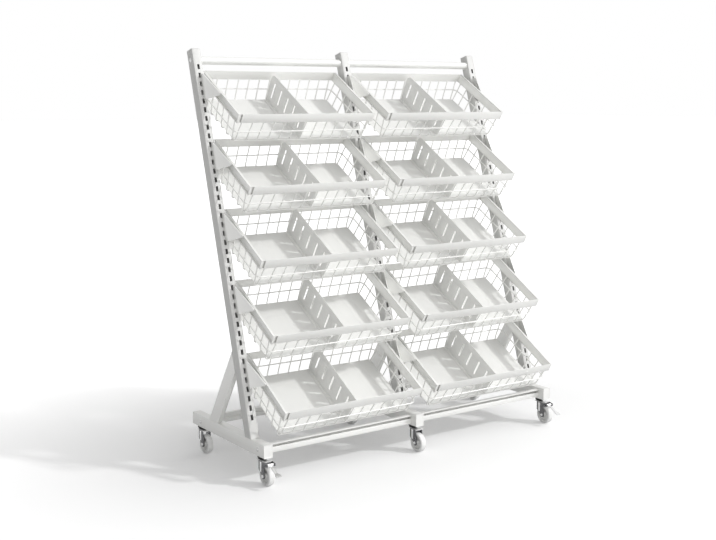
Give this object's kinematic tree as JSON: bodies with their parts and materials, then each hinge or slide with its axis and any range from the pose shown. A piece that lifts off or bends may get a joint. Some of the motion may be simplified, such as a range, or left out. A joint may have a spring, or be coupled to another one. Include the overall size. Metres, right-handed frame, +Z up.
{
  "type": "snack display rack",
  "caption": "Mobile two-bay display rack: leaning slotted frames on casters carry tilted wire baskets with floor sheets and slotted dividers, hooked on in tiers.",
  "frame": {"origin": "on the floor, under the middle of the rack's box", "axes": "+X to the right of someone facing the rack's front, +Y to its back, +Z up"},
  "size_m": [1.453, 0.6744, 1.6085],
  "materials": {
    "white_powder_coat": "satin powder coat",
    "zinc_plated_steel": "zinc plated",
    "pale_nylon": "moulded"
  },
  "bodies": {
    "frame": {"base_leg_centre": "white_powder_coat", "base_leg_left": "white_powder_coat", "base_leg_right": "white_powder_coat", "front_base_rail_left": "white_powder_coat", "front_base_rail_right": "white_powder_coat", "rear_base_rail_left": "white_powder_coat", "rear_base_rail_right": "white_powder_coat", "rear_brace_centre": "white_powder_coat", "rear_brace_left": "white_powder_coat", "rear_brace_right": "white_powder_coat", "slotted_upright_centre": "white_powder_coat", "slotted_upright_left": "white_powder_coat", "slotted_upright_right": "white_powder_coat", "top_tube_left": "white_powder_coat", "top_tube_right": "white_powder_coat"},
    "basket_left_1": {"wire_basket_left_1": "white_powder_coat", "basket_floor_left_1": "white_powder_coat"},
    "divider_left_1": {"basket_divider_left_1": "white_powder_coat"},
    "basket_left_2": {"wire_basket_left_2": "white_powder_coat", "basket_floor_left_2": "white_powder_coat"},
    "divider_left_2": {"basket_divider_left_2": "white_powder_coat"},
    "basket_left_3": {"wire_basket_left_3": "white_powder_coat", "basket_floor_left_3": "white_powder_coat"},
    "divider_left_3": {"basket_divider_left_3": "white_powder_coat"},
    "basket_left_4": {"wire_basket_left_4": "white_powder_coat", "basket_floor_left_4": "white_powder_coat"},
    "divider_left_4": {"basket_divider_left_4": "white_powder_coat"},
    "basket_left_5": {"wire_basket_left_5": "white_powder_coat", "basket_floor_left_5": "white_powder_coat"},
    "divider_left_5": {"basket_divider_left_5": "white_powder_coat"},
    "basket_right_1": {"wire_basket_right_1": "white_powder_coat", "basket_floor_right_1": "white_powder_coat"},
    "divider_right_1": {"basket_divider_right_1": "white_powder_coat"},
    "basket_right_2": {"wire_basket_right_2": "white_powder_coat", "basket_floor_right_2": "white_powder_coat"},
    "divider_right_2": {"basket_divider_right_2": "white_powder_coat"},
    "basket_right_3": {"wire_basket_right_3": "white_powder_coat", "basket_floor_right_3": "white_powder_coat"},
    "divider_right_3": {"basket_divider_right_3": "white_powder_coat"},
    "basket_right_4": {"wire_basket_right_4": "white_powder_coat", "basket_floor_right_4": "white_powder_coat"},
    "divider_right_4": {"basket_divider_right_4": "white_powder_coat"},
    "basket_right_5": {"wire_basket_right_5": "white_powder_coat", "basket_floor_right_5": "white_powder_coat"},
    "divider_right_5": {"basket_divider_right_5": "white_powder_coat"},
    "caster_front_left": {"caster_fork_front_left": "zinc_plated_steel"},
    "wheel_front_left": {"caster_wheel_front_left": "pale_nylon"},
    "brake_front_left": {"brake_pedal_front_left": "zinc_plated_steel"},
    "caster_front_centre": {"caster_fork_front_centre": "zinc_plated_steel"},
    "wheel_front_centre": {"caster_wheel_front_centre": "pale_nylon"},
    "caster_front_right": {"caster_fork_front_right": "zinc_plated_steel"},
    "wheel_front_right": {"caster_wheel_front_right": "pale_nylon"},
    "brake_front_right": {"brake_pedal_front_right": "zinc_plated_steel"},
    "caster_rear_left": {"caster_fork_rear_left": "zinc_plated_steel"},
    "wheel_rear_left": {"caster_wheel_rear_left": "pale_nylon"},
    "caster_rear_centre": {"caster_fork_rear_centre": "zinc_plated_steel"},
    "wheel_rear_centre": {"caster_wheel_rear_centre": "pale_nylon"},
    "caster_rear_right": {"caster_fork_rear_right": "zinc_plated_steel"},
    "wheel_rear_right": {"caster_wheel_rear_right": "pale_nylon"}
  },
  "joints": [
    {"name": "basket_lift_left_1", "type": "slide", "parent": "frame", "child": "basket_left_1", "axis": [0, 0.289, 0.9573], "range_m": [0, 0.01]},
    {"name": "divider_slide_left_1", "type": "slide", "parent": "basket_left_1", "child": "divider_left_1", "axis": [1, 0, 0], "range_m": [-0.27, 0.27]},
    {"name": "basket_lift_left_2", "type": "slide", "parent": "frame", "child": "basket_left_2", "axis": [0, 0.289, 0.9573], "range_m": [0, 0.01]},
    {"name": "divider_slide_left_2", "type": "slide", "parent": "basket_left_2", "child": "divider_left_2", "axis": [1, 0, 0], "range_m": [-0.27, 0.27]},
    {"name": "basket_lift_left_3", "type": "slide", "parent": "frame", "child": "basket_left_3", "axis": [0, 0.289, 0.9573], "range_m": [0, 0.01]},
    {"name": "divider_slide_left_3", "type": "slide", "parent": "basket_left_3", "child": "divider_left_3", "axis": [1, 0, 0], "range_m": [-0.27, 0.27]},
    {"name": "basket_lift_left_4", "type": "slide", "parent": "frame", "child": "basket_left_4", "axis": [0, 0.289, 0.9573], "range_m": [0, 0.01]},
    {"name": "divider_slide_left_4", "type": "slide", "parent": "basket_left_4", "child": "divider_left_4", "axis": [1, 0, 0], "range_m": [-0.27, 0.27]},
    {"name": "basket_lift_left_5", "type": "slide", "parent": "frame", "child": "basket_left_5", "axis": [0, 0.289, 0.9573], "range_m": [0, 0.01]},
    {"name": "divider_slide_left_5", "type": "slide", "parent": "basket_left_5", "child": "divider_left_5", "axis": [1, 0, 0], "range_m": [-0.27, 0.27]},
    {"name": "basket_lift_right_1", "type": "slide", "parent": "frame", "child": "basket_right_1", "axis": [0, 0.289, 0.9573], "range_m": [0, 0.01]},
    {"name": "divider_slide_right_1", "type": "slide", "parent": "basket_right_1", "child": "divider_right_1", "axis": [1, 0, 0], "range_m": [-0.27, 0.27]},
    {"name": "basket_lift_right_2", "type": "slide", "parent": "frame", "child": "basket_right_2", "axis": [0, 0.289, 0.9573], "range_m": [0, 0.01]},
    {"name": "divider_slide_right_2", "type": "slide", "parent": "basket_right_2", "child": "divider_right_2", "axis": [1, 0, 0], "range_m": [-0.27, 0.27]},
    {"name": "basket_lift_right_3", "type": "slide", "parent": "frame", "child": "basket_right_3", "axis": [0, 0.289, 0.9573], "range_m": [0, 0.01]},
    {"name": "divider_slide_right_3", "type": "slide", "parent": "basket_right_3", "child": "divider_right_3", "axis": [1, 0, 0], "range_m": [-0.27, 0.27]},
    {"name": "basket_lift_right_4", "type": "slide", "parent": "frame", "child": "basket_right_4", "axis": [0, 0.289, 0.9573], "range_m": [0, 0.01]},
    {"name": "divider_slide_right_4", "type": "slide", "parent": "basket_right_4", "child": "divider_right_4", "axis": [1, 0, 0], "range_m": [-0.27, 0.27]},
    {"name": "basket_lift_right_5", "type": "slide", "parent": "frame", "child": "basket_right_5", "axis": [0, 0.289, 0.9573], "range_m": [0, 0.01]},
    {"name": "divider_slide_right_5", "type": "slide", "parent": "basket_right_5", "child": "divider_right_5", "axis": [1, 0, 0], "range_m": [-0.27, 0.27]},
    {"name": "caster_swivel_front_left", "type": "hinge", "parent": "frame", "child": "caster_front_left", "pos_m": [-0.704, -0.21475, 0.104], "axis": [0, 0, 1], "continuous": true},
    {"name": "wheel_spin_front_left", "type": "hinge", "parent": "caster_front_left", "child": "wheel_front_left", "pos_m": [-0.704, -0.24975, 0.0375], "axis": [1, 0, 0], "continuous": true},
    {"name": "brake_release_front_left", "type": "hinge", "parent": "caster_front_left", "child": "brake_front_left", "pos_m": [-0.704, -0.27075, 0.083], "axis": [-1, 0, 0], "range_deg": [0, 15]},
    {"name": "caster_swivel_front_centre", "type": "hinge", "parent": "frame", "child": "caster_front_centre", "pos_m": [0, -0.21475, 0.104], "axis": [0, 0, 1], "continuous": true},
    {"name": "wheel_spin_front_centre", "type": "hinge", "parent": "caster_front_centre", "child": "wheel_front_centre", "pos_m": [0, -0.24975, 0.0375], "axis": [1, 0, 0], "continuous": true},
    {"name": "caster_swivel_front_right", "type": "hinge", "parent": "frame", "child": "caster_front_right", "pos_m": [0.704, -0.21475, 0.104], "axis": [0, 0, 1], "continuous": true},
    {"name": "wheel_spin_front_right", "type": "hinge", "parent": "caster_front_right", "child": "wheel_front_right", "pos_m": [0.704, -0.24975, 0.0375], "axis": [1, 0, 0], "continuous": true},
    {"name": "brake_release_front_right", "type": "hinge", "parent": "caster_front_right", "child": "brake_front_right", "pos_m": [0.704, -0.27075, 0.083], "axis": [-1, 0, 0], "range_deg": [0, 15]},
    {"name": "caster_swivel_rear_left", "type": "hinge", "parent": "frame", "child": "caster_rear_left", "pos_m": [-0.704, 0.25725, 0.104], "axis": [0, 0, 1], "continuous": true},
    {"name": "wheel_spin_rear_left", "type": "hinge", "parent": "caster_rear_left", "child": "wheel_rear_left", "pos_m": [-0.704, 0.22225, 0.0375], "axis": [1, 0, 0], "continuous": true},
    {"name": "caster_swivel_rear_centre", "type": "hinge", "parent": "frame", "child": "caster_rear_centre", "pos_m": [0, 0.25725, 0.104], "axis": [0, 0, 1], "continuous": true},
    {"name": "wheel_spin_rear_centre", "type": "hinge", "parent": "caster_rear_centre", "child": "wheel_rear_centre", "pos_m": [0, 0.22225, 0.0375], "axis": [1, 0, 0], "continuous": true},
    {"name": "caster_swivel_rear_right", "type": "hinge", "parent": "frame", "child": "caster_rear_right", "pos_m": [0.704, 0.25725, 0.104], "axis": [0, 0, 1], "continuous": true},
    {"name": "wheel_spin_rear_right", "type": "hinge", "parent": "caster_rear_right", "child": "wheel_rear_right", "pos_m": [0.704, 0.22225, 0.0375], "axis": [1, 0, 0], "continuous": true}
  ]
}
